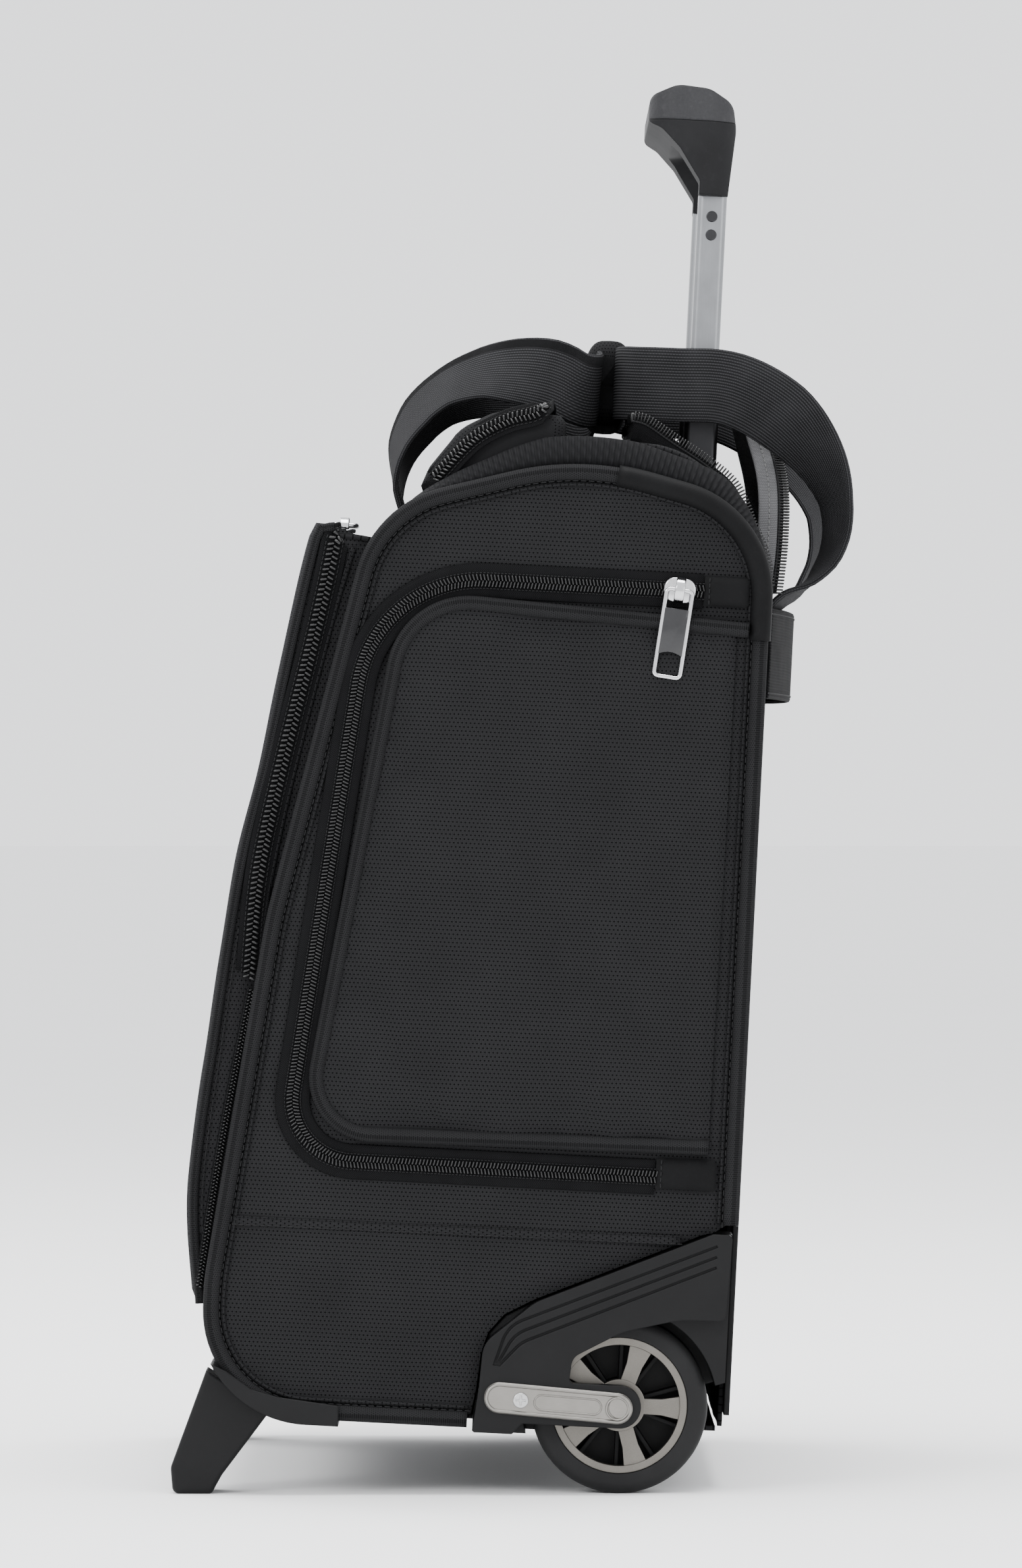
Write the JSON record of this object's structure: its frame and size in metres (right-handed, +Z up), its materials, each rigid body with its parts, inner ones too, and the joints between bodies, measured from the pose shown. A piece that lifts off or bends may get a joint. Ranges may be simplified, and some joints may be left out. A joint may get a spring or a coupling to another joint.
{
  "type": "rolling flight case",
  "caption": "Soft-sided pilot rolling case with telescopic handle, inline wheels, webbing carry handles, zipped front and side pockets and an open rear flap.",
  "frame": {"origin": "floor level, under the middle of the footprint", "axes": "+X to the case's right-hand side, +Y to the back where the wheels and the luggage strap are, +Z up"},
  "size_m": [0.3676, 0.2898, 0.6063],
  "materials": {
    "nylon_fabric": "woven ballistic nylon",
    "piping_fabric": "coated nylon over cord",
    "webbing": "plain woven webbing",
    "lining": "smooth polyester lining",
    "zip_chain": "nylon coil",
    "tyre": "smooth tread",
    "wheel_rim": "satin warm silver",
    "wheel_web": "moulded",
    "steel": "plain",
    "chrome": "polished",
    "satin_insert": "satin",
    "housing_plastic": "satin moulded",
    "silver_tube": "satin anodised",
    "dark_tube": "dark anodised",
    "channel_aluminium": "mill finish",
    "grip_rubber": "fine grained soft touch",
    "grip_plastic": "satin moulded"
  },
  "bodies": {
    "case": {"axle_inserts": "satin_insert", "axles": "steel", "back_panel": "nylon_fabric", "base_panel": "nylon_fabric", "channel_guides": "grip_plastic", "corner_guards": "housing_plastic", "divider_panel": "nylon_fabric", "front_carry_strap": "webbing", "front_feet": "housing_plastic", "front_panels": "nylon_fabric", "front_pocket_gusset": "nylon_fabric", "front_pocket_panel": "nylon_fabric", "front_zips": "zip_chain", "handle_channels": "channel_aluminium", "handle_crossbars": "grip_plastic", "handle_wrap": "webbing", "insert_screws": "steel", "kick_plate": "housing_plastic", "luggage_strap": "webbing", "main_lid": "nylon_fabric", "main_lid_zip": "zip_chain", "piping_sleeves": "piping_fabric", "rear_carry_strap": "webbing", "rear_flap": "nylon_fabric", "rear_flap_lining": "lining", "rear_zip_open": "zip_chain", "side_panel_left": "nylon_fabric", "side_panel_right": "nylon_fabric", "side_piping": "piping_fabric", "side_pocket_panels": "nylon_fabric", "side_pocket_rolls": "piping_fabric", "side_pocket_zips": "zip_chain", "top_edge_bands": "nylon_fabric", "top_panels": "nylon_fabric", "wheel_housing_left": "housing_plastic", "wheel_housing_right": "housing_plastic"},
    "lower_stage": {"lower_stage_tubes": "dark_tube", "lower_stage_collars": "grip_plastic"},
    "upper_stage": {"upper_stage_tubes": "silver_tube", "grip_core": "grip_plastic", "grip_cover": "grip_rubber", "tube_rivets": "steel"},
    "release_button": {"release_button": "grip_plastic", "release_rods": "steel"},
    "left_wheel": {"left_wheel_tyre": "tyre", "left_wheel_rim": "wheel_rim", "left_wheel_web": "wheel_web", "left_wheel_bearings": "steel"},
    "right_wheel": {"right_wheel_tyre": "tyre", "right_wheel_rim": "wheel_rim", "right_wheel_web": "wheel_web", "right_wheel_bearings": "steel"},
    "left_side_slider": {"left_zip_slider": "chrome"},
    "left_side_puller": {"left_zip_puller": "chrome"},
    "right_side_slider": {"right_zip_slider": "chrome"},
    "right_side_puller": {"right_zip_puller": "chrome"},
    "front_pocket_slider": {"front_pocket_slider": "chrome"},
    "front_pocket_puller": {"front_pocket_puller": "chrome"},
    "main_lid_slider": {"main_lid_slider": "chrome"},
    "main_lid_puller": {"main_lid_puller": "chrome"}
  },
  "joints": [
    {"name": "left_wheel_spin", "type": "hinge", "parent": "case", "child": "left_wheel", "pos_m": [-0.156, 0.04558, 0.0375], "axis": [1, 0, 0], "continuous": true},
    {"name": "right_wheel_spin", "type": "hinge", "parent": "case", "child": "right_wheel", "pos_m": [0.156, 0.04558, 0.0375], "axis": [1, 0, 0], "continuous": true},
    {"name": "lower_stage_slide", "type": "slide", "parent": "case", "child": "lower_stage", "axis": [0, 0.0506, 0.9987], "range_m": [-0.106, 0.167]},
    {"name": "upper_stage_slide", "type": "slide", "parent": "lower_stage", "child": "upper_stage", "axis": [0, 0.0506, 0.9987], "range_m": [-0.051, 0.207]},
    {"name": "button_press", "type": "slide", "parent": "upper_stage", "child": "release_button", "axis": [0, -0.0506, -0.9987], "range_m": [0, 0.0025], "stiffness_N_per_m": 900, "springref_m": -0.0012},
    {"name": "left_side_zip_slide", "type": "slide", "parent": "case", "child": "left_side_slider", "axis": [0, -0.9987, 0.0506], "range_m": [0, 0.075]},
    {"name": "left_side_puller_lift", "type": "hinge", "parent": "left_side_slider", "child": "left_side_puller", "pos_m": [-0.1809, 0.0711, 0.38315], "axis": [0, 0.9987, -0.0506], "range_deg": [0, 110]},
    {"name": "right_side_zip_slide", "type": "slide", "parent": "case", "child": "right_side_slider", "axis": [0, -0.9987, 0.0506], "range_m": [0, 0.075]},
    {"name": "right_side_puller_lift", "type": "hinge", "parent": "right_side_slider", "child": "right_side_puller", "pos_m": [0.1809, 0.0711, 0.38315], "axis": [0, -0.9987, 0.0506], "range_deg": [0, 110]},
    {"name": "front_pocket_zip_slide", "type": "slide", "parent": "case", "child": "front_pocket_slider", "axis": [-1, 0, 0], "range_m": [0, 0.26]},
    {"name": "front_pocket_puller_lift", "type": "hinge", "parent": "front_pocket_slider", "child": "front_pocket_puller", "pos_m": [0.138, -0.07161, 0.41221], "axis": [0, 0.9987, -0.0506], "range_deg": [0, 160]},
    {"name": "main_lid_zip_slide", "type": "slide", "parent": "case", "child": "main_lid_slider", "axis": [1, 0, 0], "range_m": [-0.01, 0.09]},
    {"name": "main_lid_puller_lift", "type": "hinge", "parent": "main_lid_slider", "child": "main_lid_puller", "pos_m": [-0.04, 0.01216, 0.46494], "axis": [0, 0.9987, -0.0506], "range_deg": [0, 160]}
  ]
}
